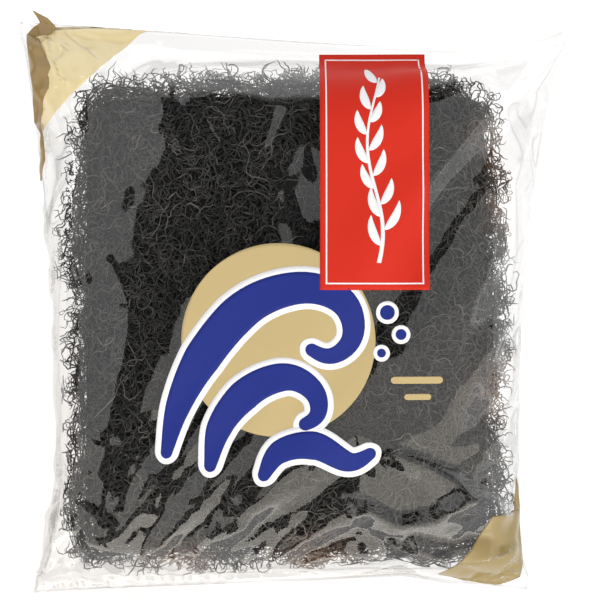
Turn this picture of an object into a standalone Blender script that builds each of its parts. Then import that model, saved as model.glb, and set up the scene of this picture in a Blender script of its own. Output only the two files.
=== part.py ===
# Bag of dried long hijiki, lying on its back: two webs of clear film welded round a slab
# of tangled seaweed stems, with a stuck-on label. +Z is up, +Y is the bag's top end, and the
# origin is on the surface that the bag lies on, under the middle of its outline. Metres.

import math

import bmesh
import bpy
import numpy as np
from mathutils.bvhtree import BVHTree

# The bag's outline. Each edge is drawn in at its waist, by the filling, and flares from there
# to its two corners: where the waist is (from -1 to 1 along the edge), its place, and then for
# the corner at either end the corner's place and how sharply the edge turns out to it.
LEFT_EDGE = {"at": -0.50, "waist": -0.1440, "ends": (-0.1620, -0.1705), "turns": (3.0, 1.8)}
RIGHT_EDGE = {"at": -0.50, "waist": 0.1400, "ends": (0.1460, 0.1705), "turns": (3.0, 2.4)}
LOW_EDGE = {"at": 0.25, "waist": -0.1695, "ends": (-0.1780, -0.1755), "turns": (1.6, 2.0)}
TOP_EDGE = {"at": 0.40, "waist": 0.1610, "ends": (0.1780, 0.1750), "turns": (1.2, 3.7)}

# The pouch between the welds, which the tangle fills, as shares of the outline's halves
POUCH_SHARE = (0.955, 0.935)
POUCH_FLATNESS = 4.5
POUCH_SHOULDER = 0.45
SEAM_Z = 0.0320
FRONT_RISE = 0.0400
BACK_DROP = 0.0440  # deeper than the seam is high, so the bag lies on a flat area
REST_Z = 0.0006
CORNER_DROOP = 0.0080  # the empty corners hang lower than the waist's seam

FILM_WALL = 0.0006
FILM_GAP = 0.0003
FILM_CELLS = (17, 19)

# The tangle: a core that stems stand out of, larger than life and fewer than the real ones
CORE_SHARE = 0.900  # of the pouch, across
CORE_SQUARENESS = 6.0
CORE_INSET = 0.0072
CORE_CELLS = (10, 11)
LAYER_GAP = 0.0004
STEM_SIDES = 3
STEM_RADIUS = 0.0042
STEM_CLEARANCE = 0.0006  # between a stem and the film, or the other layer
STEM_STEPS = 6
STEM_LENGTH = (0.080, 0.125)
STEM_SCATTER = 0.0018  # how much deeper than the uppermost a stem may lie
STEM_ROOT = 0.0050  # how much deeper its ends are sunk
FRONT_STEMS = (7, 8)
BACK_STEMS = (4, 5)
RIM_STEMS = 10
RIM_SPAN = 0.75  # how far round the pouch each of them runs, in radians
FRINGE_STEMS = 30
FRINGE_RADIUS = 0.0024
FRINGE_STEPS = 4
FRINGE_ROOT = 0.009
FRINGE_REACH = (0.012, 0.020)
FRONT_SEED = 1
BACK_SEED = 2

# The label: its place on the front web and its size
LABEL_X = (0.0165, 0.0850)
LABEL_Y = (0.0105, 0.1555)
LABEL_WALL = 0.0006
LABEL_CELLS = (6, 14)


def clear_scene():
    for obj in list(bpy.data.objects):
        bpy.data.objects.remove(obj)


def material(name, colour, roughness, alpha=1.0):
    mat = bpy.data.materials.new(name)
    mat.use_nodes = True
    shader = mat.node_tree.nodes["Principled BSDF"]
    shader.inputs["Base Color"].default_value = (*colour, 1.0)
    shader.inputs["Roughness"].default_value = roughness
    shader.inputs["Metallic"].default_value = 0.0
    shader.inputs["Alpha"].default_value = alpha
    return mat


def flared(edge, along):
    # An edge of the outline: at its waist's place, and out from there at either corner.
    low = np.clip((edge["at"] - along) / (edge["at"] + 1), 0, 1) ** edge["turns"][0]
    high = np.clip((along - edge["at"]) / (1 - edge["at"]), 0, 1) ** edge["turns"][1]
    waist = edge["waist"]
    return waist + (edge["ends"][0] - waist) * low + (edge["ends"][1] - waist) * high


def outline_point(u, v):
    # Blends the four edges over the web: u runs from left to right and v from low end to top.
    left = flared(LEFT_EDGE, v)
    right = flared(RIGHT_EDGE, v)
    low = flared(LOW_EDGE, u)
    top = flared(TOP_EDGE, u)
    return left + (right - left) * (u + 1) / 2, low + (top - low) * (v + 1) / 2


def fullness(u, v):
    # 1 over the pouch's middle, falling in a blunt shoulder to 0 at the welds, and sooner
    # towards the corners, where the two webs pinch flat.
    across = 1 - np.clip(np.abs(u) / POUCH_SHARE[0], 0, 1) ** POUCH_FLATNESS
    along = 1 - np.clip(np.abs(v) / POUCH_SHARE[1], 0, 1) ** POUCH_FLATNESS
    return (across * along) ** POUCH_SHOULDER


def seam_height(u, v):
    return SEAM_Z - CORNER_DROOP * (u * v) ** 2


def front_height(u, v):
    return seam_height(u, v) + FILM_GAP / 2 + FRONT_RISE * fullness(u, v)


def back_height(u, v):
    height = seam_height(u, v) - FILM_GAP / 2 - BACK_DROP * fullness(u, v)
    return np.maximum(height, REST_Z)


def on_web(height, u, v):
    x, y = outline_point(u, v)
    return np.stack([x, y, height(u, v)], axis=-1)


def place_on_web(x, y):
    # Finds the web's own u and v for a place in the plan, by stepping closer to it.
    u, v = x / RIGHT_EDGE["ends"][1], y / TOP_EDGE["ends"][0]
    for turn in range(12):
        near_x, near_y = outline_point(u, v)
        u = u + (x - near_x) / RIGHT_EDGE["ends"][1]
        v = v + (y - near_y) / TOP_EDGE["ends"][0]
    return u, v


def spaced(count, share):
    # Grid lines from -1 to 1, the last on the weld's inner edge, and closer towards it.
    even = np.linspace(-1, 1, count - 1)
    lines = share * (0.5 * even + 0.5 * np.sin(even * math.pi / 2))
    return np.concatenate([[-1], lines, [1]])


def grid_faces(cells, first=0, flip=False):
    columns, rows = cells
    index = first + np.arange((columns + 1) * (rows + 1)).reshape(rows + 1, columns + 1)
    quads = np.stack([index[:-1, :-1], index[:-1, 1:], index[1:, 1:], index[1:, :-1]], axis=-1)
    quads = quads.reshape(-1, 4)
    return quads[:, ::-1] if flip else quads


def rim_of(cells):
    # The grid's outer points, once round anticlockwise.
    columns, rows = cells
    index = np.arange((columns + 1) * (rows + 1)).reshape(rows + 1, columns + 1)
    return np.concatenate([index[0, :-1], index[:-1, -1], index[-1, :0:-1], index[:0:-1, 0]])


def grid_normals(points):
    across = np.gradient(points, axis=1)
    along = np.gradient(points, axis=0)
    normals = np.cross(across, along)
    return normals / np.linalg.norm(normals, axis=2, keepdims=True)


def slab_mesh(name, upper, lower):
    # A closed slab between two grids of the same size, upper over lower.
    cells = (upper.shape[1] - 1, upper.shape[0] - 1)
    count = upper.shape[0] * upper.shape[1]
    rim = rim_of(cells)
    after = np.roll(rim, -1)
    wall = np.stack([rim + count, after + count, after, rim], axis=-1)
    faces = [*grid_faces(cells), *grid_faces(cells, count, True), *wall]
    mesh = bpy.data.meshes.new(name)
    points = np.concatenate([upper.reshape(-1, 3), lower.reshape(-1, 3)])
    mesh.from_pydata(points.tolist(), [], [list(map(int, face)) for face in faces])
    mesh.update()
    return mesh


def add_object(name, mesh, mat=None, collection=None):
    obj = bpy.data.objects.new(name, mesh)
    (collection or bpy.context.scene.collection).objects.link(obj)
    if mat is not None:
        mesh.materials.append(mat)
    return obj


def smooth_round(obj, angle=math.radians(40)):
    obj.data.shade_smooth()
    obj.data.set_sharp_from_angle(angle=angle)


def film_inside(height):
    columns, rows = FILM_CELLS
    u, v = np.meshgrid(spaced(columns, POUCH_SHARE[0]), spaced(rows, POUCH_SHARE[1]))
    return on_web(height, u, v)


def film_web(name, height, outwards, mat):
    # One web of film: the inner surface follows the pouch, and the wall is added outwards.
    inner = film_inside(height)
    outer = inner + outwards * FILM_WALL * grid_normals(inner)
    outer[..., 2] = np.maximum(outer[..., 2], 0)
    # The rim is cut square, so that the two webs share one outline.
    for edge in (np.s_[0, :], np.s_[-1, :], np.s_[:, 0], np.s_[:, -1]):
        outer[edge][..., :2] = inner[edge][..., :2]
    upper, lower = (outer, inner) if outwards > 0 else (inner, outer)
    web = add_object(name, slab_mesh(name, upper, lower), mat)
    smooth_round(web)
    return web


def label(mat):
    # A stuck-on sheet that follows the front web, just clear of it.
    x, y = np.meshgrid(
        np.linspace(*LABEL_X, LABEL_CELLS[0] + 1), np.linspace(*LABEL_Y, LABEL_CELLS[1] + 1)
    )
    base = on_web(front_height, *place_on_web(x, y))
    normals = grid_normals(base)
    facet_sag = 0.0006  # the web's flat facets lie up to this far off its true curve
    lower = base + (FILM_WALL + FILM_GAP + facet_sag) * normals
    upper = lower + LABEL_WALL * normals
    return add_object("front_label", slab_mesh("front_label", upper, lower), mat)


def pouch_radius(u, v):
    # 0 in the pouch's middle and 1 round its rim, taken as a rectangle with round corners.
    across = np.abs(u) / POUCH_SHARE[0]
    along = np.abs(v) / POUCH_SHARE[1]
    return (across**CORE_SQUARENESS + along**CORE_SQUARENESS) ** (1 / CORE_SQUARENESS)


def core_places():
    # A square grid pressed to the pouch's rounded plan, a little smaller.
    lines = [np.sin(np.linspace(-1, 1, count + 1) * math.pi * 0.36) for count in CORE_CELLS]
    u, v = np.meshgrid(*[line / line[-1] for line in lines])
    ring = np.maximum(np.abs(u), np.abs(v))
    u, v = u * POUCH_SHARE[0], v * POUCH_SHARE[1]
    press = CORE_SHARE * ring / np.maximum(pouch_radius(u, v), 1e-9)
    return u * press, v * press


def stem_mesh(name, path, radius):
    # A closed tube of few sides along a path, narrowing towards both ends.
    along = np.gradient(path, axis=0)
    along /= np.linalg.norm(along, axis=1, keepdims=True)
    side = np.cross(along, (0.0, 0.0, 1.0))
    side /= np.linalg.norm(side, axis=1, keepdims=True) + 1e-12
    up = np.cross(side, along)
    share = np.linspace(-1, 1, len(path))
    thickness = radius * (1 - 0.35 * share**2)
    # One corner points up, so that a half-sunk stem shows two faces.
    turn = math.pi / 2 + 2 * math.pi * np.arange(STEM_SIDES) / STEM_SIDES
    ring = np.cos(turn)[None, :, None] * side[:, None] + np.sin(turn)[None, :, None] * up[:, None]
    points = path[:, None] + thickness[:, None, None] * ring
    mesh = bpy.data.meshes.new(name)
    index = np.arange(len(path) * STEM_SIDES).reshape(len(path), STEM_SIDES)
    after = np.roll(index, -1, axis=1)
    quads = np.stack([index[:-1], after[:-1], after[1:], index[1:]], axis=-1).reshape(-1, 4)
    ends = [index[0][::-1].tolist(), index[-1].tolist()]
    mesh.from_pydata(points.reshape(-1, 3).tolist(), [], quads.tolist() + ends)
    edit = bmesh.new()
    edit.from_mesh(mesh)
    bmesh.ops.recalc_face_normals(edit, faces=edit.faces)
    edit.to_mesh(mesh)
    edit.free()
    return mesh


def curl(heading, length, steps, sweep, wave, phase):
    # A stem's plan: its heading swings as a wave while it also sweeps steadily round.
    share = (np.arange(steps) + 0.5) / steps
    angle = heading + sweep * (share - 0.5) + wave * np.sin(2 * math.pi * share + phase)
    step = length / steps * np.stack([np.cos(angle), np.sin(angle)], axis=-1)
    return np.concatenate([np.zeros((1, 2)), np.cumsum(step, axis=0)])


def on_pouch(plan, centre, most):
    # A plan in metres about a place on the web, drawn in where it would leave the pouch.
    half = (RIGHT_EDGE["waist"], TOP_EDGE["waist"])
    u, v = centre[0] + plan[:, 0] / half[0], centre[1] + plan[:, 1] / half[1]
    inwards = np.minimum(1, most / np.maximum(pouch_radius(u, v), 1e-9))
    return u * inwards, v * inwards


def film_tree(height):
    points = film_inside(height)
    return BVHTree.FromPolygons(points.reshape(-1, 3).tolist(), grid_faces(FILM_CELLS).tolist())


def laid_on_film(path, film, depths, way, free=False):
    # Moves a stem's points to their depths behind the film, keeping off the other layer. A
    # free stem is only pushed in where it would come closer to the film than that.
    least = SEAM_Z * way + LAYER_GAP / 2 + STEM_CLEARANCE
    for turn in range(4):
        for point, depth in zip(path, depths):
            nearest, normal, face, distance = film.find_nearest(point)
            inwards = -way * np.array(normal)
            short = depth - float((point - np.array(nearest)) @ inwards)
            point += (max(0.0, short) if free else short) * inwards
            point[2] = way * max(way * point[2], least + min(depth, STEM_RADIUS))
    return path


def lying_stems(name, counts, height, way, rng, collection):
    # Stems that lie against the film all over one side of the core, one for each cell of a
    # grid, with both ends sunk in the core.
    columns, rows = counts
    film = film_tree(height)
    for row in range(rows):
        for column in range(columns):
            cell = np.array([column + 0.5, row + 0.5]) + rng.uniform(-0.35, 0.35, 2)
            centre = (2 * cell / np.array(counts) - 1) * np.array(POUCH_SHARE)
            plan = curl(
                rng.uniform(0, 2 * math.pi), rng.uniform(*STEM_LENGTH), STEM_STEPS,
                rng.uniform(-3.4, 3.4), rng.uniform(0.4, 1.2), rng.uniform(0, 2 * math.pi),
            )
            path = on_web(height, *on_pouch(plan - plan.mean(axis=0), centre, 0.95))
            share = np.linspace(-1, 1, len(path))
            depths = STEM_RADIUS + STEM_CLEARANCE + rng.uniform(0, STEM_SCATTER)
            depths = depths + STEM_ROOT * share**6
            stem = f"{name}_stem_{row}_{column}"
            mesh = stem_mesh(stem, laid_on_film(path, film, depths, way), STEM_RADIUS)
            add_object(stem, mesh, None, collection)


def rim_stems(name, count, height, way, rng, collection):
    # Stems that run along the core's side, rising and falling in waves.
    film = film_tree(height)
    for number in range(count):
        share = np.linspace(-1, 1, STEM_STEPS + 1)
        turn = 2 * math.pi * (number + rng.uniform(-0.2, 0.2)) / count + 0.5 * RIM_SPAN * share
        u, v = np.cos(turn) * POUCH_SHARE[0], np.sin(turn) * POUCH_SHARE[1]
        inwards = (CORE_SHARE + 0.028 * (1 - share**6)) / pouch_radius(u, v)
        path = on_web(height, u * inwards, v * inwards)
        wave = 0.42 + 0.22 * np.sin(rng.uniform(3, 6) * share + rng.uniform(0, 2 * math.pi))
        path[:, 2] = SEAM_Z + wave * (path[:, 2] - SEAM_Z)
        depths = np.full(len(path), STEM_RADIUS + STEM_CLEARANCE)
        stem = f"{name}_rim_{number}"
        mesh = stem_mesh(stem, laid_on_film(path, film, depths, way, True), STEM_RADIUS)
        add_object(stem, mesh, None, collection)


def fringe_stems(name, count, height, way, rng, collection):
    # Stems that stand out of the core's rim into the narrow space between the two webs.
    film = film_tree(height)
    for number in range(count):
        turn = 2 * math.pi * (number + rng.uniform(0.2, 0.8)) / count
        rim = np.array([math.cos(turn), math.sin(turn)]) * np.array(POUCH_SHARE)
        rim *= CORE_SHARE / pouch_radius(*rim)
        # Outwards is straight across the long flat sides, and slanting at the corners.
        share = rim / np.array(POUCH_SHARE) / CORE_SHARE
        outwards = np.sign(share) * np.abs(share) ** (CORE_SQUARENESS - 1)
        outwards /= np.linalg.norm(outwards)
        plan = curl(
            math.atan2(outwards[1], outwards[0]) + rng.uniform(-0.6, 0.6),
            FRINGE_ROOT + rng.uniform(*FRINGE_REACH), FRINGE_STEPS,
            rng.uniform(-1.8, 1.8), rng.uniform(0.2, 0.7), rng.uniform(0, 2 * math.pi),
        )
        path = on_web(height, *on_pouch(plan - FRINGE_ROOT * outwards, rim, 0.985))
        rise = rng.uniform(0.15, 0.5) * abs(path[0, 2] - SEAM_Z)
        path[:, 2] = SEAM_Z + way * rise * np.linspace(1, 0.6, len(path))
        depths = np.full(len(path), FRINGE_RADIUS + STEM_CLEARANCE)
        stem = f"{name}_fringe_{number}"
        mesh = stem_mesh(stem, laid_on_film(path, film, depths, way, True), FRINGE_RADIUS)
        add_object(stem, mesh, None, collection)


def main_body(mesh):
    # Drops the pockets closed in among the stems, and any chip cut off where stems cross.
    edit = bmesh.new()
    edit.from_mesh(mesh)
    left = set(edit.faces)
    bodies = []
    while left:
        body = {left.pop()}
        front = set(body)
        while front:
            front = {face for f in front for edge in f.edges for face in edge.link_faces}
            front -= body
            body |= front
        left -= body
        bodies.append(body)
    bodies.sort(key=len)
    spare = [face for body in bodies[:-1] for face in body]
    bmesh.ops.delete(edit, geom=spare, context="FACES")
    edit.to_mesh(mesh)
    edit.free()


def joined(core, collection):
    # The core and its stems made one closed body.
    union = core.modifiers.new("Join stems", "BOOLEAN")
    union.operation = "UNION"
    union.operand_type = "COLLECTION"
    union.collection = collection
    union.solver = "MANIFOLD"
    bpy.context.view_layer.update()
    graph = bpy.context.evaluated_depsgraph_get()
    mesh = bpy.data.meshes.new_from_object(core.evaluated_get(graph))
    core.modifiers.clear()
    core.data = mesh
    main_body(mesh)
    for stem in list(collection.objects):
        bpy.data.objects.remove(stem)
    bpy.data.collections.remove(collection)


def tangle_layer(name, way, stems, fringe, seed, mat):
    # One layer of the tangle: the half of the core on that side of the seam, with its stems.
    rng = np.random.default_rng(seed)
    height = front_height if way > 0 else back_height
    face = on_web(height, *core_places())
    face[..., 2] -= way * CORE_INSET
    middle = face.copy()
    middle[..., 2] = SEAM_Z + way * LAYER_GAP / 2
    upper, lower = (face, middle) if way > 0 else (middle, face)
    core = add_object(name, slab_mesh(name, upper, lower))
    collection = bpy.data.collections.new(name + "_stems")
    bpy.context.scene.collection.children.link(collection)
    lying_stems(name, stems, height, way, rng, collection)
    rim_stems(name, RIM_STEMS, height, way, rng, collection)
    fringe_stems(name, fringe, height, way, rng, collection)
    joined(core, collection)
    core.data.materials.clear()
    core.data.materials.append(mat)
    smooth_round(core)
    return core


def build():
    clear_scene()
    film = material("clear_film", (0.92, 0.92, 0.90), 0.08, 0.25)
    stems = material("dried_hijiki", (0.030, 0.028, 0.026), 0.55)
    paper = material("label_paper", (0.68, 0.06, 0.03), 0.45)
    film_web("film_back", back_height, -1, film)
    film_web("film_front", front_height, 1, film)
    tangle_layer("hijiki_back_layer", -1, BACK_STEMS, FRINGE_STEMS // 3, BACK_SEED, stems)
    tangle_layer("hijiki_front_layer", 1, FRONT_STEMS, FRINGE_STEMS, FRONT_SEED, stems)
    label(paper)


build()
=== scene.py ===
import math
import time

import bpy
import numpy as np
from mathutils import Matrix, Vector
from mathutils.geometry import delaunay_2d_cdt


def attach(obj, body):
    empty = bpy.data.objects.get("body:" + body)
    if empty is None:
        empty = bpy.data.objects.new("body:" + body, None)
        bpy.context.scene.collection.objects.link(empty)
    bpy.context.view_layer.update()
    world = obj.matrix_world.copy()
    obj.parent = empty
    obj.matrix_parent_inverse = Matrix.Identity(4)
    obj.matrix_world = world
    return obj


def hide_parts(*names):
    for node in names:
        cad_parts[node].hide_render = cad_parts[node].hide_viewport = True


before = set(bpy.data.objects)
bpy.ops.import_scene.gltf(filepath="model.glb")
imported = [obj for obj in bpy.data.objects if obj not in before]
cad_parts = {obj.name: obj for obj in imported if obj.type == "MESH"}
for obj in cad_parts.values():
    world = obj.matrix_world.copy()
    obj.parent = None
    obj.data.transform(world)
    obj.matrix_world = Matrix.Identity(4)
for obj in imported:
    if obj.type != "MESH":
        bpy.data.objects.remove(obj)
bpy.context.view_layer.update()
started = time.time()


def stageDone(name):
    print(f"{name}: {time.time() - started:.1f} s")


def addObject(name, mesh, mat=None):
    obj = bpy.data.objects.new(name, mesh)
    bpy.context.scene.collection.objects.link(obj)
    if mat is not None:
        mesh.materials.append(mat)
    return obj


def meshFromArrays(name, points, quads, triangles=None):
    # points (n, 3), quads (m, 4) and triangles (k, 3), all written in one go
    groups = [quads] if triangles is None else [quads, triangles]
    loops = np.concatenate([group.ravel() for group in groups]).astype(np.int32)
    sizes = np.concatenate([np.full(len(group), group.shape[1]) for group in groups])
    starts = np.concatenate([[0], np.cumsum(sizes)[:-1]]).astype(np.int32)
    mesh = bpy.data.meshes.new(name)
    mesh.vertices.add(len(points))
    mesh.vertices.foreach_set("co", np.ascontiguousarray(points, np.float32).ravel())
    mesh.loops.add(len(loops))
    mesh.loops.foreach_set("vertex_index", loops)
    mesh.polygons.add(len(starts))
    mesh.polygons.foreach_set("loop_start", starts)
    mesh.polygons.foreach_set("use_smooth", np.full(len(starts), True))
    mesh.update(calc_edges=True)
    mesh.validate()
    return mesh


def newMaterial(name):
    mat = bpy.data.materials.new(name)
    mat.use_nodes = True
    tree = mat.node_tree
    tree.nodes.clear()
    return mat, tree, tree.nodes.new("ShaderNodeOutputMaterial")


def addNode(tree, kind, inputs=(), **settings):
    # a shader node, with (socket, value) for its inputs and its own settings
    node = tree.nodes.new(f"ShaderNode{kind}")
    for name, value in settings.items():
        setattr(node, name, value)
    for socket, value in inputs:
        node.inputs[socket].default_value = value
    return node


def joinNodes(tree, *joints):
    # each joint is a node and its output, then the node and the input that it feeds
    for start, output, end, socket in joints:
        tree.links.new(start.outputs[output], end.inputs[socket])


def plainMaterial(name, colour, roughness, specular=0.5, coat=0.0):
    mat, tree, output = newMaterial(name)
    shader = addNode(tree, "BsdfPrincipled", (
        ("Base Color", (*colour, 1)), ("Roughness", roughness), ("Specular IOR Level", specular),
        ("Coat Weight", coat), ("Coat Roughness", 0.05)))
    joinNodes(tree, (shader, 0, output, 0))
    return mat


# The bag's film: sizes in metres
filmOptions = {
    "widths": (0.3425, 0.3200),  # each web, lying flat, along its top and its lower end
    "height": 0.366,
    "cells": (40, 43),
    "levels": 3,
    "rounds": (640, 260, 110),
    "push": (9e-5, 3.6e-5, 1.4e-5),
    "unevenness": (0.0006, 0.0003, 0.0001),
    "volume": 0.0056,
    "stiffness": 0.30,
    "damping": 0.97,
    "topSpeed": 0.002,  # a round
    "startGrown": 0.15,  # how thick the tangle is at first
    "startBump": 0.012,
    "endSeal": 0.008,
    "sideFold": 0.30,
    "bodyHalf": (0.1385, 0.1535, 0.0345),  # the tangle, as a squarish cushion
    "bodySquareness": 9.0,
    "bodyRoundness": 2.6,
    "bodyCentre": (-0.0040, -0.0065, 0.032),
    "lumps": (0.0010, 9, 0.035, 0.11),  # height, count, shortest and longest wave
    "rimPull": 0.10,
    "seam": (0.032, 0.008),  # its height, and how much lower the corners hang
    # each edge of the outline: where its waist is, the waist, both corners, both turns
    "left": (-0.50, -0.1440, -0.1620, -0.1705, 3.0, 1.8),
    "right": (-0.50, 0.1400, 0.1460, 0.1705, 3.0, 2.4),
    "low": (0.25, -0.1695, -0.1780, -0.1755, 1.6, 2.0),
    "top": (0.40, 0.1610, 0.1780, 0.1750, 1.2, 3.7),
    "notch": (0.49, 0.0130, 0.20, 0.085),  # pinch in the lower edge: place, depth, left, right
    "sealGap": 0.00012,
    "seed": 4,
}


def edgeLine(edge, along):
    # waist + (corner - waist) * share**turn, on either side of the waist
    at, waist, first, last, turnFirst, turnLast = edge
    low = np.clip((at - along) / (at + 1), 0, 1) ** turnFirst
    high = np.clip((along - at) / (1 - at), 0, 1) ** turnLast
    return waist + (first - waist) * low + (last - waist) * high


def lowLine(u, o):
    # the lower edge with its notch: + depth * e^-(distance / reach)
    place, depth, left, right = o["notch"]
    reach = np.where(u < place, left, right)
    return edgeLine(o["low"], u) + depth * np.exp(-np.abs(u - place) / reach)


def rimTargets(rows, columns, o):
    # bilinear blend of the four edge lines over the grid, v from 1 at the top to -1,
    # at a height of seam - droop (u v)^2
    v, u = np.linspace(1, -1, rows), np.linspace(-1, 1, columns)
    left, right = edgeLine(o["left"], v), edgeLine(o["right"], v)
    low, top = lowLine(u, o), edgeLine(o["top"], u)
    x = left[:, None] + (right - left)[:, None] * (u + 1) / 2
    y = low[None, :] + (top - low)[None, :] * (v[:, None] + 1) / 2
    z = o["seam"][0] - o["seam"][1] * (u[None, :] * v[:, None]) ** 2
    return np.stack([x, y, z], -1).astype(np.float32)


def flatWeb(rows, columns, o):
    # the web before it is filled: rows of even spacing whose width changes evenly
    t = np.linspace(0, 1, rows)[:, None]
    wide, narrow = o["widths"]
    width = wide + (narrow - wide) * t
    x = width * np.linspace(-0.5, 0.5, columns)[None, :]
    return np.stack([x, np.broadcast_to((0.5 - t) * o["height"], x.shape)], -1)


def lumpWaves(o):
    # random plane waves (kx, ky, phase, size), the longest the highest
    rng = np.random.default_rng(o["seed"] + 50)
    amount, count, short, long = o["lumps"]
    length = np.exp(rng.uniform(np.log(short), np.log(long), count))
    angle = rng.uniform(0, 2 * np.pi, count)
    turns = 2 * np.pi / length
    phase = rng.uniform(0, 2 * np.pi, count)
    return np.stack([turns * np.cos(angle), turns * np.sin(angle), phase, amount * length / long])


def lumpHeight(x, y, waves):
    # sum of size * sin(kx x + ky y + phase)
    total = np.zeros_like(x)
    for kx, ky, phase, size in waves.T:
        total += size * np.sin(kx * x + ky * y + phase)
    return total


def squareNorm(x, y, n):
    # how far out a place lies in a squarish cushion: (|x|^n + |y|^n)^(1/n)
    return (np.abs(x) ** n + np.abs(y) ** n) ** (1 / n)


def pushOffBody(points, o, waves, grown):
    # keeps points outside ((|x/a|^n + |y/b|^n)^(q/n) + |z/c|^q)^(1/q) = 1, by one Newton step
    a, b, c = o["bodyHalf"]
    c = c * grown
    n, q = o["bodySquareness"], o["bodyRoundness"]
    x = (points[..., 0] - o["bodyCentre"][0]) / a
    y = (points[..., 1] - o["bodyCentre"][1]) / b
    z = points[..., 2] - o["bodyCentre"][2]
    z = (z - lumpHeight(points[..., 0], points[..., 1], waves) * np.sign(z)) / c
    ax, ay, az = np.abs(x) + 1e-6, np.abs(y) + 1e-6, np.abs(z) + 1e-6
    r = squareNorm(ax, ay, n)
    g = squareNorm(r, az, q)
    slope = g ** (1 - q) * r ** (q - 1)
    gx = slope * r ** (1 - n) * ax ** (n - 1) * np.sign(x) / a
    gy = slope * r ** (1 - n) * ay ** (n - 1) * np.sign(y) / b
    gz = g ** (1 - q) * az ** (q - 1) * np.sign(z) / c
    step = np.where(g < 1, (1 - g) / (gx * gx + gy * gy + gz * gz), 0)
    points += step[..., None] * np.stack([gx, gy, gz], -1)


def linksOf(flat, o):
    # batches of links that share no point: both slices, rest length, strength, push only
    rows, columns = flat.shape[:2]
    every, batches = slice(None), []

    def add(first, second, strength, onlyPush=False):
        rest = np.linalg.norm(flat[second] - flat[first], axis=-1)[..., None].astype(np.float32)
        batches.append(((every, *first), (every, *second), rest, strength, onlyPush))

    def inTwos(size, start, apart):
        # every other stretch of that many cells: the slices of its first and its second end
        last = start + 2 * apart * ((size - start - apart - 1) // (2 * apart) + 1)
        return slice(start, last - apart, 2 * apart), slice(start + apart, last, 2 * apart)

    for s in (0, 1):
        odd, even = slice(s, -1, 2), slice(s + 1, None, 2)
        add((every, odd), (every, even), 1.0)
        add((odd, every), (even, every), 1.0)
        add((odd, slice(0, -1)), (even, slice(1, None)), 0.7)
        add((odd, slice(1, None)), (even, slice(0, -1)), 0.7)
    for apart, strength in ((2, o["stiffness"]), (4, o["stiffness"] / 2)):
        for s in range(2 * apart):
            first, second = inTwos(columns, s, apart)
            add((every, first), (every, second), strength, True)
            first, second = inTwos(rows, s, apart)
            add((first, every), (second, every), strength, True)
    return batches


def tie(a, b, rest, strength, onlyPush=False):
    # moves both ends of each link by half of strength * (length - rest), in place
    d = b - a
    length = np.sqrt((d * d).sum(-1, keepdims=True)) + 1e-9
    e = (length - rest) / length
    if onlyPush:
        e = np.minimum(e, 0)
    d *= e * (0.5 * strength)
    a += d
    b -= d


def gridSlopes(points):
    # unit normals of a grid of points, and its differences along and down
    du, dv = np.gradient(points, axis=-2), np.gradient(points, axis=-3)
    normals = np.cross(du, dv)
    normals /= np.sqrt((normals * normals).sum(-1, keepdims=True)) + 1e-12
    return normals, du, dv


def settle(webs, rounds, push, growFrom, o, waves):
    # position-based cloth: both webs swell with the pressure, held by links, rim and body
    speed = np.zeros_like(webs)
    rows, columns = webs.shape[1:3]
    flat = flatWeb(rows, columns, o)
    links = linksOf(flat, o)
    sealRows = max(1, round(o["endSeal"] / o["height"] * (rows - 1)))
    fold = 2 * o["sideFold"] * (flat[:, 1:2, :1] - flat[:, :1, :1])[:, 0]
    target = rimTargets(rows, columns, o)
    for turn in range(rounds):
        grown = growFrom + (1 - growFrom) * min(1, 1.6 * turn / rounds)
        before = webs.copy()
        normals, du, dv = gridSlopes(webs)
        normals[0] *= -1
        area = du[..., 0] * dv[..., 1] - du[..., 1] * dv[..., 0]
        volume = abs(float((area[0] * webs[0, ..., 2] - area[1] * webs[1, ..., 2]).sum()))
        wanted = o["volume"] * (0.3 + 0.7 * grown)
        pressure = np.clip(8 * (wanted - volume) / wanted, -0.3, 1)
        webs += speed * o["damping"] + normals * (push * pressure)
        for first, second, rest, strength, onlyPush in links:
            tie(webs[first], webs[second], rest, strength, onlyPush)
        webs[:, :, 0] = webs[:, :, 0].mean(axis=0)
        webs[:, :, -1] = webs[:, :, -1].mean(axis=0)
        for column in (1, -2):  # the side folds don't close to a knife edge
            tie(webs[0][:, column], webs[1][:, column], fold, o["stiffness"], True)
        for ends in (slice(0, sealRows + 1), slice(rows - sealRows - 1, rows)):
            webs[:, ends] = webs[:, ends].mean(axis=0)
        for side in (np.s_[:, :, 0], np.s_[:, :, -1], np.s_[:, 0], np.s_[:, -1]):
            webs[side] += o["rimPull"] * (target[side[1:]] - webs[side])
        pushOffBody(webs, o, waves, grown)
        crossed = np.maximum(0, webs[1, ..., 2] - webs[0, ..., 2]) / 2
        webs[0, ..., 2] += crossed
        webs[1, ..., 2] -= crossed
        np.maximum(webs[..., 2], 0, out=webs[..., 2])
        speed = webs - before
        length = np.sqrt((speed**2).sum(-1, keepdims=True)) + 1e-12
        speed *= np.minimum(1, o["topSpeed"] / length)
    return webs


def refined(webs, rng, unevenness):
    # twice as many cells both ways: the new points by (9(b + c) - (a + d)) / 16
    for axis in (1, 2):
        a = np.moveaxis(webs, axis, 0)
        out = np.empty((2 * a.shape[0] - 1, *a.shape[1:]), a.dtype)
        out[::2] = a
        between = 0.5 * (a[:-1] + a[1:])
        between[1:-1] = (9 * (a[1:-2] + a[2:-1]) - (a[:-3] + a[3:])) / 16
        out[1::2] = between
        webs = np.moveaxis(out, 0, axis)
    webs = np.ascontiguousarray(webs)
    webs[..., 2] += rng.normal(0, unevenness, webs.shape[:-1])
    return webs


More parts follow.
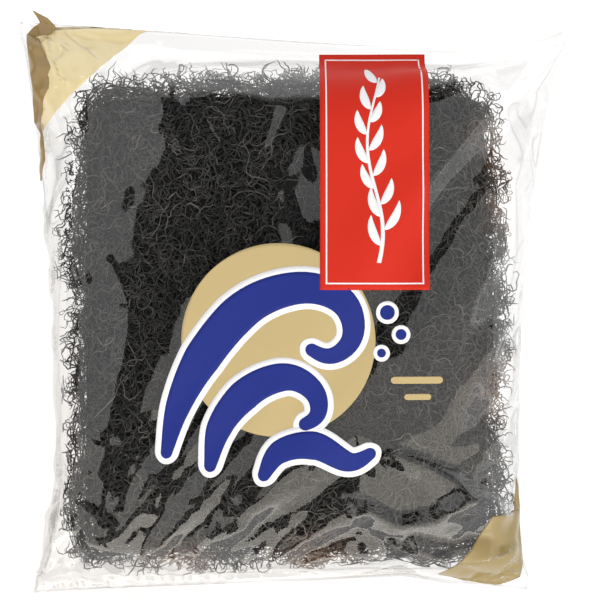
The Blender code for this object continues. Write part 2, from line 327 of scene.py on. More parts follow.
def simulatedFilm(o):
    # two flat webs with a little air between them, settled on ever finer grids
    rng = np.random.default_rng(o["seed"])
    columns, rows = o["cells"]
    flat = flatWeb(rows + 1, columns + 1, o)
    webs = np.zeros((2, rows + 1, columns + 1, 3), np.float32)
    webs[..., :2], webs[..., 2] = flat, o["bodyCentre"][2]
    share = np.pi * flat / np.array([o["widths"][0], o["height"]])
    bump = o["startBump"] * np.cos(share[..., 0]) * np.cos(share[..., 1])
    webs[0, ..., 2] += bump
    webs[1, ..., 2] -= bump
    webs[..., 2] += rng.normal(0, o["unevenness"][0], webs.shape[:-1])
    waves = lumpWaves(o)
    for level in range(o["levels"]):
        if level > 0:
            webs = refined(webs, rng, o["unevenness"][level])
        webs = settle(webs, o["rounds"][level], o["push"][level],
                      1 if level else o["startGrown"], o, waves)
    # the seals' two layers lie side by side, not in one place
    sealRows = round(o["endSeal"] / o["height"] * (webs.shape[1] - 1))
    normals = gridSlopes(webs[0])[0] * -o["sealGap"]
    for ends in (slice(1, sealRows + 1), slice(-sealRows - 1, -1)):
        webs[0, ends, 1:-1] += normals[ends, 1:-1]
        webs[1, ends, 1:-1] -= normals[ends, 1:-1]
    return webs


creaseOptions = {
    "facets": ((0.036, 0.00045), (0.015, 0.00012)),  # mean size and height of the flat facets
    "edgeGrowth": 2.2,  # towards the rim they stand this much higher
    # creases in mm: line, widths and slopes of the steep side at its two ends (left is above 0)
    "creases": (
        (((61, -87), (79, -94), (96, -103), (108, -115), (119, -120)), (3.5, 8), (0.74, 0.78)),
        (((45, -120), (63, -129.5), (85, -126), (104, -113)), (5, 8), (0.82, 0.82)),
        (((74, -143), (97, -149), (116, -147)), (8, 9), (1.0, 1.0)),
        (((117, -14), (121, -45), (128, -90)), (3.5, 5), (-0.5, -0.5)),
        (((-111, 28), (-100, 14)), (4, 4), (0.24, 0.24)),
        (((-73, -157), (-51, -135)), (3, 4), (0.6, 0.6)),
        (((-48, -152), (-32, -131)), (3, 4), (0.6, 0.6)),
        (((-134, -73), (-110, -82), (-87, -95)), (10, 3), (0.12, 0.12)),
        (((-64, 122), (-48, 112), (-40, 98)), (3, 6), (-0.12, -0.12)),
        (((-139, 24), (-135, 39), (-126, 17)), (3, 3), (0.7, -0.7)),
        (((-153, 163), (-143, 143), (-133, 129), (-130, 108)), (3, 3), (-0.7, -0.7)),
        (((-140, 168), (-120, 150), (-118, 138)), (3, 2), (-0.6, -0.6)),
        (((-130, 170), (-107, 166)), (3, 3), (-0.6, -0.6)),
        (((-146, -164), (-80, -168), (10, -164), (62, -158)), (3, 3), (0.7, 0.7)),
        (((-150, -160), (-60, -163), (50, -155)), (3, 4), (-0.7, -0.7)),
        (((70, -152), (84, -164), (120, -172)), (3, 3), (0.7, 0.7)),
        (((-152, -110), (-144, -140), (-151, -168)), (4, 3), (0.6, 0.6)),
        (((-152, 60), (-150, 20), (-146, -30)), (3, 3), (-0.6, -0.6)),
    ),
    # low swells where the tangle pushes up: place, radius and height in mm
    "swells": ((-55, -112, 24, 4.0), (66, 12, 34, 4.2)),
    # crumpled corners of both webs, and crumpled margins of the front one: place and reach
    # in mm, then facets as above
    "corners": ((-148, 156, 34, 0.0075, 0.0012), (-146, -164, 26, 0.0085, 0.0008),
                (132, -156, 34, 0.0085, 0.0010), (150, 160, 30, 0.0110, 0.0005)),
    "margins": ((-158, -70, 26, 0.0090, 0.0007), (-152, 40, 24, 0.0090, 0.0007),
                (-70, -172, 30, 0.0080, 0.0007), (20, -170, 30, 0.0080, 0.0007)),
    "seed": 12,
}


def facetHeights(plan, size, height, rng):
    # flat triangular facets: random heights on scattered points, joined by straight triangles
    low, high = plan.reshape(-1, 2).min(axis=0) - size, plan.reshape(-1, 2).max(axis=0) + size
    count = int(np.prod(high - low) / size**2)
    spots = rng.uniform(low, high, (count, 2))
    box = np.array([[low[0], low[1]], [high[0], low[1]], [high[0], high[1]], [low[0], high[1]]])
    spots = np.concatenate([spots, box])
    tops = rng.normal(0, height, len(spots))
    made = delaunay_2d_cdt([Vector(spot) for spot in spots], [], [], 0, 1e-7)
    corners = np.array([list(spot) for spot in made[0]])
    tops = tops[[source[0] for source in made[3]]]
    total = np.zeros(plan.shape[:-1])
    for face in made[2]:
        (ax, ay), (bx, by), (cx, cy) = corners[face]
        area = (bx - ax) * (cy - ay) - (cx - ax) * (by - ay)
        dx, dy = plan[..., 0] - ax, plan[..., 1] - ay
        v = (dx * (cy - ay) - dy * (cx - ax)) / area
        w = (dy * (bx - ax) - dx * (by - ay)) / area
        inside = (v >= 0) & (w >= 0) & (v + w < 1)
        a, b, c = tops[face]
        total[inside] = (a + v * (b - a) + w * (c - a))[inside]
    return total


def creaseHeight(plan, line, widths, slopes):
    # a ridge along the line: slope * (width - d) on its steep side, a gentle fall behind it,
    # and it runs out over one width past either end
    line = np.array(line) / 1000
    lengths = np.linalg.norm(np.diff(line, axis=0), axis=1)
    start = np.concatenate([[0], np.cumsum(lengths)])
    best, side, along = np.full(plan.shape[:-1], 9.0), np.ones(plan.shape[:-1]), 0
    for (ax, ay), (bx, by), before, length in zip(line, line[1:], start, lengths):
        ux, uy = (bx - ax) / length, (by - ay) / length
        dx, dy = plan[..., 0] - ax, plan[..., 1] - ay
        t = np.clip(dx * ux + dy * uy, 0, length)
        away = np.hypot(dx - t * ux, dy - t * uy)
        nearer = away < best
        side = np.where(nearer, np.sign(ux * dy - uy * dx), side)
        along = np.where(nearer, (before + t) / start[-1], along)
        best = np.minimum(best, away)
    width = (widths[0] + (widths[1] - widths[0]) * along) / 1000
    slope = slopes[0] + (slopes[1] - slopes[0]) * along
    steep = side * np.sign(slope) > 0
    return np.abs(slope) * width * np.clip(1 - best / np.where(steep, width, 2.5 * width), 0, 1)


def squaredMm(plan, x, y):
    # squared distance in mm from points in metres to a place in mm
    return ((plan - np.array([x, y]) / 1000) ** 2).sum(-1) * 1e6


def withCreases(webs, o):
    # facets on both webs and creases on the front one, all outwards and none on the seals
    rng = np.random.default_rng(o["seed"])
    rows, columns = webs.shape[1:3]
    v, u = np.meshgrid(np.linspace(1, -1, rows), np.linspace(-1, 1, columns), indexing="ij")
    out = np.maximum(np.abs(u), np.abs(v))
    rim = np.clip(18 * (1 - out) - 0.5, 0, 1)
    nearRim = np.clip(50 * (1 - out), 0, 1)
    growth = 1 + (o["edgeGrowth"] - 1) * out**3
    for way, web in ((-1, webs[0]), (1, webs[1])):
        plan = web[..., :2].astype(float)
        height = sum(facetHeights(plan, *facets, rng) for facets in o["facets"]) * growth
        for x, y, reach, size, tall in o["corners"] + o["margins"] * (way < 0):
            near = np.exp(-squaredMm(plan, x, y) / reach**2)
            there = near > 0.03
            height[there] += near[there] * facetHeights(plan[there], size, tall, rng)
        height = np.maximum(height - height.min() * 0.5, 0) * rim
        if way < 0:
            for x, y, radius, tall in o["swells"]:
                swell = np.exp(-squaredMm(plan, x, y) / (2 * radius**2))
                height += tall / 1000 * swell * rim
            for crease in o["creases"]:
                height += creaseHeight(plan, *crease) * nearRim
        normals = gridSlopes(web)[0] * way
        web += normals * height[..., None]
        np.maximum(web[..., 2], 0, out=web[..., 2])
    return webs


def gridQuads(rows, columns, first=0, flip=False):
    # the faces between the points of a grid
    index = first + np.arange(rows * columns).reshape(rows, columns)
    quads = np.stack([index[:-1, :-1], index[1:, :-1], index[1:, 1:], index[:-1, 1:]], -1)
    quads = quads.reshape(-1, 4)
    return quads[:, ::-1] if flip else quads


filmLook = {
    "tint": (0.968, 0.963, 0.956),
    "roughness": 0.035,
    "ior": 1.5,
    "bothFaces": 1.9,  # one surface reflects for both faces of the film
    "most": 0.34,  # a thin crumpled film's edges are never full mirrors
}


def filmMaterial():
    # clear, with a sharp reflection of min(bothFaces * fresnel, most)
    mat, tree, output = newMaterial("clear film")
    through = addNode(tree, "BsdfTransparent", (("Color", (*filmLook["tint"], 1)),))
    gloss = addNode(tree, "BsdfGlossy", (("Roughness", filmLook["roughness"]),))
    fresnel = addNode(tree, "Fresnel", (("IOR", filmLook["ior"]),))
    bothFaces = addNode(tree, "Math", ((1, filmLook["bothFaces"]),), operation="MULTIPLY")
    most = addNode(tree, "Math", ((1, filmLook["most"]),), operation="MINIMUM")
    mix = addNode(tree, "MixShader")
    joinNodes(tree, (fresnel, 0, bothFaces, 0), (bothFaces, 0, most, 0), (most, 0, mix, "Fac"),
              (through, 0, mix, 1), (gloss, 0, mix, 2), (mix, 0, output, 0))
    return mat


def buildFilm(webs):
    # one closed surface: the back web uses the front web's rim points
    rows, columns = webs.shape[1:3]
    front = gridQuads(rows, columns)
    back = gridQuads(rows, columns, rows * columns, True)
    index = np.arange(rows * columns).reshape(rows, columns)
    joined = np.arange(2 * rows * columns)
    inner = np.zeros((rows, columns), bool)
    inner[1:-1, 1:-1] = True
    joined[rows * columns:][~inner.ravel()] = index[~inner]
    quads = joined[np.concatenate([front, back])]
    used, compact = np.unique(quads, return_inverse=True)
    mesh = meshFromArrays("film", webs.reshape(-1, 3)[used], compact.reshape(-1, 4))
    film = addObject("filmBag", mesh, filmMaterial())
    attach(film, "root")
    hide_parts("film_front", "film_back")


def onFilm(web, flat, lift=0.0):
    # flat (..., 2) in metres on the flat web -> bilinear point of the grid + lift * normal
    rows, columns = web.shape[:2]
    t = 0.5 - flat[..., 1] / filmOptions["height"]
    wide, narrow = filmOptions["widths"]
    width = wide + (narrow - wide) * t
    s = (flat[..., 0] / width + 0.5) * (columns - 1)
    t = t * (rows - 1)
    s, t = np.clip(s, 0, columns - 1.001), np.clip(t, 0, rows - 1.001)
    i, j = s.astype(int), t.astype(int)
    fs, ft = (s - i)[..., None], (t - j)[..., None]

    def blend(a):
        return ((a[j, i] * (1 - fs) + a[j, i + 1] * fs) * (1 - ft)
                + (a[j + 1, i] * (1 - fs) + a[j + 1, i + 1] * fs) * ft)

    return blend(web) + lift * blend(-gridSlopes(web)[0])


webs = withCreases(simulatedFilm(filmOptions), creaseOptions)
buildFilm(webs)
stageDone("film")


def flatFor(plan, web, rounds=60, strength=0.7):
    # the place on the flat web that lies over a place in the plan, by repeated correction
    flat = np.array(plan, float)
    for turn in range(rounds):
        flat += strength * (plan - onFilm(web, flat)[..., :2])
    return flat


def plate(grid, thick):
    # closed plate: the grid of points and the same grid thick below it, joined round the rim
    n, m = grid.shape[:2]
    normals = gridSlopes(grid)[0]
    under = grid - normals * thick * np.sign(normals[..., 2].mean())
    index = np.arange(n * m).reshape(n, m)
    rim = np.concatenate([index[0, :-1], index[:-1, -1], index[-1, :0:-1], index[:0:-1, 0]])
    after = np.roll(rim, -1)
    wall = np.stack([rim, after, after + n * m, rim + n * m], -1)
    quads = np.concatenate([gridQuads(n, m), gridQuads(n, m, n * m, True), wall])
    points = np.concatenate([grid.reshape(-1, 3), under.reshape(-1, 3)])
    return points, facingOut(points, quads)


def facingOut(points, quads):
    # turns all faces round if the closed plate's volume comes out negative
    a, b, c, d = (points[quads[:, k]] for k in range(4))
    volume = (np.cross(a, b) * c).sum() + (np.cross(a, c) * d).sum()
    return quads if volume > 0 else quads[:, ::-1]


def plates(name, grids, thick, mat, node):
    # several closed plates as one piece
    points, quads, first = [], [], 0
    for grid in grids:
        p, q = plate(grid, thick)
        points.append(p)
        quads.append(q + first)
        first += len(p)
    mesh = meshFromArrays(name, np.concatenate(points), np.concatenate(quads))
    obj = addObject(name, mesh, mat)
    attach(obj, "root")
    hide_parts(node)


def printed(name, shapes, lift, thick, mat, slot, node="film_front", web=None):
    # shapes (n, m, 2) in the plan, laid on the front web; lift is that of their upper face
    web = webs[0] if web is None else web
    grids = [onFilm(web, flatFor(plan, web), lift) for plan in shapes]
    plates(name, grids, thick, mat, node)


def between(first, second, steps):
    # ruled patch between two curves of n points: first + k/steps (second - first)
    share = np.linspace(0, 1, steps + 1)[None, :, None]
    return first[:, None] + share * (second - first)[:, None]


def drawn(points, count, smooth=True):
    # a line in mm through the points, even along its length: cubic or straight between them
    points = np.array(points, float) / 1000
    if smooth:
        ends = [2 * points[0] - points[1]], [2 * points[-1] - points[-2]]
        a, b, c, d = (np.concatenate([ends[0], points, ends[1]])[k:len(points) - 1 + k]
                      for k in range(4))
        t = np.linspace(0, 1, 24, endpoint=False)[None, :, None]
        a, b, c, d = (value[:, None] for value in (a, b, c, d))
        curve = 0.5 * (2 * b + (c - a) * t + (2 * a - 5 * b + 4 * c - d) * t**2
                       + (3 * b - a - 3 * c + d) * t**3)
        points = np.concatenate([curve.reshape(-1, 2), points[-1:]])
    length = np.concatenate([[0], np.cumsum(np.linalg.norm(np.diff(points, axis=0), axis=1))])
    even = np.linspace(0, length[-1], count)
    return np.stack([np.interp(even, length, points[:, k]) for k in range(2)], -1)


def brushed(points, widths, grow=0.0, count=90):
    # a brush stroke: half widths blended along it, rounded ends, all of it grown for an outline
    even = drawn(points, 400)
    for turn in range(160):
        even[1:-1] = (even[:-2] + 2 * even[1:-1] + even[2:]) / 4
    s = 0.5 - 0.5 * np.cos(np.linspace(0, np.pi, count))  # closer points at both ends
    line = np.stack([np.interp(s, np.linspace(0, 1, 400), even[:, k]) for k in (0, 1)], -1)
    along = np.gradient(line, axis=0)
    along /= np.linalg.norm(along, axis=1, keepdims=True)
    length = np.linalg.norm(np.diff(line, axis=0), axis=1).sum()
    half = np.interp(s, np.linspace(0, 1, len(widths)), widths) / 2000 + grow
    start, end = half[0], half[-1]
    line = line - along * ((1 - s) ** 8)[:, None] * grow + along * (s**8)[:, None] * grow
    reach = s * (length + 2 * grow)
    cap = np.minimum(1, reach / start), np.minimum(1, (length + 2 * grow - reach) / end)
    half = half * np.sqrt(np.maximum(0.0004, 1 - (1 - cap[0]) ** 2))
    half = half * np.sqrt(np.maximum(0.0004, 1 - (1 - cap[1]) ** 2))
    side = np.stack([-along[:, 1], along[:, 0]], -1) * half[:, None]
    return between(line + side, line - side, 8)


def rectangle(x0, y0, x1, y1, cell=0.002):
    # x from x0 to x1 and y from y1 down to y0, in cells of about that size
    n = max(2, round(abs(y1 - y0) / cell) + 1)
    down = np.linspace(y1, y0, n)
    return between(np.stack([np.full(n, x0), down], -1), np.stack([np.full(n, x1), down], -1),
                   max(1, round(abs(x1 - x0) / cell)))


def disc(centre, radius, cell=0.0022):
    # square grid u, v pressed to a circle: u sqrt(1 - v^2 / 2), v sqrt(1 - u^2 / 2)
    n = max(10, round(2 * radius / cell))
    u, v = np.meshgrid(np.linspace(-1, 1, n), np.linspace(-1, 1, n))
    circle = np.stack([u * np.sqrt(1 - v * v / 2), v * np.sqrt(1 - u * u / 2)], -1)
    return np.array(centre) + radius * circle


# Printing and label are thin closed plates that follow the film
inks = {
    "gold": plainMaterial("gold print", (0.47, 0.365, 0.178), 0.6, 0.2),
    "blue": plainMaterial("blue print", (0.010, 0.022, 0.20), 0.6, 0.2),
    "white": plainMaterial("white print", (0.80, 0.80, 0.82), 0.6, 0.2),
    "red": plainMaterial("label red", (0.56, 0.019, 0.006), 0.55, 0.2),
    "cornerGold": plainMaterial("glossy gold", (0.75, 0.62, 0.34), 0.35, coat=0.8),
    "foldGold": plainMaterial("folded gold", (0.27, 0.172, 0.052), 0.35, coat=0.6),
    # the same gold print as the glossy corner gold, made darker at the lower end: painted shade
    "shadedEndGold": plainMaterial("lower gold in painted shade", (0.255, 0.183, 0.056), 0.35, coat=0.4),
}
# how far each layer's upper face stands off the film, and its thickness
layers = {
    "corner": (0.00016, 0.0001), "back": (-0.00006, 0.0001),
    "gold": (0.00011, 0.00005), "white": (0.00022, 0.00005), "blue": (0.00033, 0.00005),
    "label": (0.00034, 0.00016), "labelInk": (0.00040, 0.00004),
}


# gold corners: outlines in mm, each the area between two lines
cornerOptions = {
    "topLeft": (((-94, 170), (-151, 111)),
                ((-88, 171), (-122, 173), (-149, 172), (-162, 168), (-159, 140), (-153, 107))),
    "topBack": (((-104, 171), (-153, 122)),
                ((-98, 173), (-122, 175), (-150, 174), (-162, 170), (-160, 140), (-156, 116))),
    "lowRight": (((120, -125.5), (107, -147), (100, -155), (88, -162)),
                 ((147, -125), (146, -137), (142, -158), (141, -168), (127, -173), (110, -170),
                  (90, -163.5))),
    "lowBack": (((128, -132), (116, -152), (104, -164)),
                ((144, -131), (143, -150), (138, -166), (127, -170), (108, -167))),
    "lowSliver": (((138, -104), (136.5, -126)), ((140, -112), (142, -126))),
    "topSliver": (((-98, 174), (-81, 173.5), (-64, 172)), ((-98, 172.6), (-82, 171.6), (-70, 170))),
    "strip": (((-165, 169), (-163, 153), (-160, 135), (-160, 114), (-154, 106), (-156, 78)),
              ((-157, 166), (-151, 153), (-145, 142), (-148, 133), (-155, 115), (-152, 104),
               (-151, 90), (-155, 78))),
    "stripRise": 0.0034,  # how far the folded strip stands off the film
    "stripFacets": (0.011, 0.0012),
    "tip": (((-165, 169), (-161, 174), (-157, 176.5), (-159, 180), (-161, 183)),
            ((-157, 166), (-149, 170), (-147, 174), (-152, 179), (-160, 183))),
    "tipHeight": (0.0285, 0.0325),  # at its root and at its end
    "tipFacets": (0.006, 0.0016),
    "foldThick": 0.00012,
    "seed": 8,
}


def areaBetween(lines, count, steps):
    # ruled patch between two lines of straight runs
    return between(drawn(lines[0], count, False), drawn(lines[1], count, False), steps)


def goldCorners(o):
    printed("goldTopLeft", [areaBetween(o["topLeft"], 44, 30)], *layers["corner"],
            inks["cornerGold"], "gold_print")
    # the lower corner takes the darker copy of the gold: painted shade
    printed("goldLowRight", [areaBetween(o["lowRight"], 30, 28)], *layers["corner"],
            inks["shadedEndGold"], "gold_print")
    printed("goldBack", [areaBetween(o["topBack"], 44, 30), areaBetween(o["lowBack"], 30, 28)],
            *layers["back"], inks["cornerGold"], "gold_print", "film_back", webs[1])
    printed("goldSlivers", [areaBetween(o["topSliver"], 24, 3), areaBetween(o["lowSliver"], 16, 3)],
            *layers["corner"], inks["foldGold"], "gold_print")


def goldFold(o):
    # the strip of the side that is folded over the corner, crumpled, and the corner's raised tip
    rng = np.random.default_rng(o["seed"])
    strip = areaBetween(o["strip"], 60, 10)
    rise = o["stripRise"] + facetHeights(strip, *o["stripFacets"], rng)
    under = onFilm(webs[0], flatFor(strip, webs[0]))[..., 2:]
    under = 0.5 * (under + under.mean(axis=1, keepdims=True))
    tip = areaBetween(o["tip"], 24, 8)
    height = o["tipHeight"][0] + facetHeights(tip, *o["tipFacets"], rng)
    height += (o["tipHeight"][1] - o["tipHeight"][0]) * np.linspace(0, 1, 24)[:, None]
    plates("goldFold", [np.concatenate([strip, under + rise[..., None]], axis=-1),
                        np.concatenate([tip, height[..., None]], axis=-1)],
           o["foldThick"], inks["foldGold"], "film_front")


goldCorners(cornerOptions)
goldFold(cornerOptions)

# the emblem: blue brushed waves, outlined in white, before a gold sun with bands of mist
emblemOptions = {
    "sun": ((-0.0085, -0.0195), 0.0575),
    "outline": 0.0034,
    "strokes": (
        (((-76, -90), (-68, -58), (-51, -26), (-25, 2), (7, 12), (31, 3), (36, -18), (22, -30),
          (8, -23)), (6, 15, 22, 23, 20, 17, 12, 7)),
        (((-50, -98), (-43, -70), (-25, -49), (-3, -41), (13, -50), (15, -64), (4, -71)),
         (6, 15, 19, 17, 12, 7)),
        (((-19, -103), (-8, -86), (13, -82), (34, -92), (49, -85)), (6, 14, 17, 13, 6)),
    ),
    "drops": ((0.0560, -0.0030, 0.0044), (0.0640, -0.0160, 0.0032), (0.0525, -0.0270, 0.0026)),
    "mist": ((((58, -43), (89, -43)), 4.2), (((66, -53), (82, -53)), 3.6)),
}


def emblem(o):
    strokes, rim, drops = o["strokes"], o["outline"], o["drops"]
    printed("goldSun", [disc(*o["sun"]), *(brushed(line, (w, w)) for line, w in o["mist"])],
            *layers["gold"], inks["gold"], "gold_print")
    printed("whiteOutline", [*(brushed(line, widths, rim) for line, widths in strokes),
                             *(disc((x, y), r + 0.7 * rim) for x, y, r in drops)],
            *layers["white"], inks["white"], "white_print")
    printed("blueWaves", [*(brushed(line, widths) for line, widths in strokes),
                          *(disc((x, y), r) for x, y, r in drops)],
            *layers["blue"], inks["blue"], "blue_print")


emblem(emblemOptions)
stageDone("printing")

# the label, outside the film
labelOptions = {
    "left": 0.0161, "right": 0.0812, "low": 0.0103, "top": 0.1560,
    "line": 0.0009, "inset": 0.0034,  # of the white frame
    "stem": (0.016, 0.018),  # where the sprig starts and ends, from the label's ends
    "stemWave": 0.0045, "stemHalf": 0.0013,
    "leaves": 13, "leafLength": (0.0225, 0.009), "leafWidth": 0.0052, "leafBend": 0.9,
    "seed": 3,
}


def labelFrame(x0, y0, x1, y1, w):
    # four bars of width w
    return [rectangle(x0, y0, x0 + w, y1), rectangle(x1 - w, y0, x1, y1),
            rectangle(x0 + w, y0, x1 - w, y0 + w), rectangle(x0 + w, y1 - w, x1 - w, y1)]


def leaf(root, angle, length, width, bend):
    # a leaflet: width * sin(pi s)^0.8 each side of a midrib that bends by bend * s
    s = np.linspace(0.01, 0.99, 16)
    heading = angle + bend * s
    step = length / len(s) * np.stack([np.cos(heading), np.sin(heading)], -1)
    rib = np.array(root) + np.cumsum(step, axis=0)
    side = np.stack([-np.sin(heading), np.cos(heading)], -1)
    half = (width / 2 * np.sin(np.pi * s**0.8) ** 0.8)[:, None]
    return between(rib + side * half, rib - side * half, 3)


def sprig(x, y0, y1, o):
    # a seaweed sprig: a stem x + wave sin(2.1 pi t + 0.5), with leaflets to both sides by turns
    rng = np.random.default_rng(o["seed"])
    t = np.linspace(0, 1, 60)
    middle = np.stack([x + o["stemWave"] * np.sin(2.1 * np.pi * t + 0.5), y0 + (y1 - y0) * t], -1)
    half = (o["stemHalf"] * (1 - 0.55 * t))[:, None] * np.array([[1, 0]])
    shapes = [between(middle - half, middle + half, 2)]
    for k, at in enumerate(np.linspace(0.10, 0.97, o["leaves"])):
        side = 1 if k % 2 else -1
        angle = math.pi / 2 - side * rng.uniform(0.75, 1.0)
        length = (o["leafLength"][0] - o["leafLength"][1] * at) * rng.uniform(0.9, 1.1)
        bend = side * o["leafBend"]
        shapes.append(leaf(middle[int(at * 59)], angle, length, o["leafWidth"], bend))
    return shapes


def stuckLabel(o):
    x0, x1, y0, y1, d = o["left"], o["right"], o["low"], o["top"], o["inset"]
    printed("label", [rectangle(x0, y0, x1, y1)], *layers["label"], inks["red"],
            "label_paper", "front_label")
    printed("labelFrame", labelFrame(x0 + d, y0 + d, x1 - d, y1 - d, o["line"]),
            *layers["labelInk"], inks["white"], "white_print", "front_label")
    printed("labelSprig", sprig((x0 + x1) / 2, y0 + o["stem"][0], y1 - o["stem"][1], o),
            *layers["labelInk"], inks["white"], "white_print", "front_label")


stuckLabel(labelOptions)
stageDone("label")


stemOptions = {
    "half": (0.1300, 0.1455, 0.0340),  # of the dense tangle, inside the film's own cushion
    "centre": (-0.0040, -0.0090, 0.032),
    "squareness": 11.0,
    "unevenRim": (0.0022, 0.0016, 0.0011),  # waves round its rim, longest first
    "front": (6400, 13, 4),  # stems, steps of each, pieces
    "back": (2200, 9, 1),
    "fringe": (1700, 12),
    "sides": 3,
    "radius": (0.00030, 0.00052),
    "length": (0.020, 0.052),
    "depth": (0.0006, 0.0060),
    "rimSpread": (-0.0070, 0.0050),  # how far each stem stands out at the rim
    "slowWave": 0.0012,  # of a stem's depth
    "slowTurns": (0.6, 1.6),
    "tone": (0.45, 0.22),  # mean and spread: 0 is the darkest
    "swing": ((0.0, 3.0), (1.0, 1.2), (2.3, 0.9), (4.4, 0.45)),  # waves a stem, turn in radians
    "phase": 6.3,  # every wave starts anywhere up to here, in radians
    "fringeRadius": (0.00030, 0.00050),
    "fringeLength": (0.012, 0.032),
    "fringeOut": (-0.0060, 0.0125),  # from the rim: least, and how much further at most
    "fringeLevel": 0.45,  # of the tangle's half height, up and down
    "fringeWave": (0.004, 4.0),  # its height, and its turn in radians
    "fringeTone": (0.55, 0.20),
    "fringeGap": 0.0012,  # to the film
    "fringeHalf": (0.148, 0.162, 0.030),  # of the cushion that the fringe keeps within
    "outlineHalf": (0.155, 0.170),
    "fromEdge": (0.0035, 0.0080, 0.0090),  # at the sides, the lower end and the top
    "coreDepth": (0.0065, 0.0055),  # at the rim and at the top
    # near-black filler under the stems: painted shade of the deep tangle
    "coreShadeColour": (0.008, 0.008, 0.008),
    # paler brown stems at the rim: place and reach in mm
    "brown": ((131, 97, 22), (131, 60, 16), (131, -50, 22), (14, -160, 26), (-70, -162, 22)),
    "seed": 21,
}


def profileTable(count=400):
    # arc length along the cushion's side profile, from its pole to its equator
    a, c = stemOptions["half"][0], stemOptions["half"][2]
    q = filmOptions["bodyRoundness"]
    turn = np.linspace(0, math.pi / 2, count)
    r, z = np.sin(turn) ** (2 / q), np.cos(turn) ** (2 / q)
    length = np.concatenate([[0], np.cumsum(np.hypot(a * np.diff(r), c * np.diff(z)))])
    return length / a, r, z


def rimWaves(x, y):
    # how far the tangle's rim stands out, round its edge: size sin(count angle + phase)
    angle = np.arctan2(y, x)
    total = np.zeros_like(angle)
    for size, count, phase in zip(stemOptions["unevenRim"], (5, 13, 29), (0.4, 2.1, 5.2)):
        total += size * np.sin(count * angle + phase + 1.3 * np.sin(2 * angle + phase))
    return total


def onBody(flat, depth, way, spread):
    # flat plan of one side of the cushion, in half widths -> a point depth below its surface
    a, b, c = stemOptions["half"]
    n = stemOptions["squareness"]
    centre = stemOptions["centre"]
    length, r, z = profileTable()
    ring = squareNorm(flat[..., 0], flat[..., 1], n) + 1e-9
    r1, z1 = np.interp(ring, length, r), np.interp(ring, length, z)
    out = (rimWaves(flat[..., 0], flat[..., 1]) + spread * r1**4) * r1**3 - depth
    x = centre[0] + (a + out) * flat[..., 0] / ring * r1
    y = centre[1] + (b + out) * flat[..., 1] / ring * r1
    lump = lumpHeight(x, y, lumpWaves(filmOptions)) * np.clip(2 * z1, 0, 1)
    z = centre[2] + way * ((c - depth) * z1 + lump)
    return np.stack([x, y, np.maximum(z, 0.0010 + depth)], -1)


def keptInside(points, gap):
    # draws points in to a flat cushion within the outline, then between the two webs
    centre = np.array(filmOptions["bodyCentre"])
    share = np.abs((points - centre) / np.array(stemOptions["fringeHalf"])) + 1e-9
    ring = squareNorm(share[..., 0], share[..., 1], filmOptions["bodySquareness"])
    g = squareNorm(ring, share[..., 2], filmOptions["bodyRoundness"])
    points = centre + (points - centre) * np.minimum(1, 1 / g)[..., None]
    u = points[..., 0] / stemOptions["outlineHalf"][0]
    v = points[..., 1] / stemOptions["outlineHalf"][1]
    side, end, top = stemOptions["fromEdge"]
    x = np.clip(points[..., 0], edgeLine(filmOptions["left"], v) + side,
                edgeLine(filmOptions["right"], v) - side)
    y = np.clip(points[..., 1], lowLine(u, filmOptions) + end,
                edgeLine(filmOptions["top"], u) - top)
    plan, z = np.stack([x, y], -1), points[..., 2]
    high, low = (onFilm(web, flatFor(plan, web))[..., 2] for web in webs)
    middle = (low + high) / 2
    z = np.clip(z, np.minimum(low + gap, middle), np.maximum(high - gap, middle))
    return np.concatenate([plan, z[..., None]], axis=-1)


def anyPhase(count):
    # one random phase for each stem
    return stemRng.uniform(0, stemOptions["phase"], (count, 1))


def curlyPlans(count, steps, length):
    # headings that swing: start + sweep s + the sum of size sin(2 pi waves s + phase)
    s = (np.arange(steps) + 0.5) / steps
    heading = stemRng.uniform(0, 2 * np.pi, (count, 1)) + np.zeros(steps)
    for waves, size in stemOptions["swing"]:
        turn = s if waves == 0 else np.sin(2 * np.pi * waves * s + anyPhase(count))
        heading = heading + stemRng.normal(0, size, (count, 1)) * turn
    step = (length / steps)[:, None, None] * np.stack([np.cos(heading), np.sin(heading)], -1)
    plan = np.concatenate([np.zeros((count, 1, 2)), np.cumsum(step, axis=1)], axis=1)
    return plan - plan.mean(axis=1, keepdims=True)


def brownness(middles):
    # 1.6 e^-(distance / reach)^2 - 0.3 of the nearest brown place, kept between 0 and 1
    near = np.zeros(len(middles))
    for x, y, reach in stemOptions["brown"]:
        near = np.maximum(near, np.exp(-squaredMm(middles[:, :2], x, y) / reach**2))
    return np.clip(1.6 * near - 0.3, 0, 1)


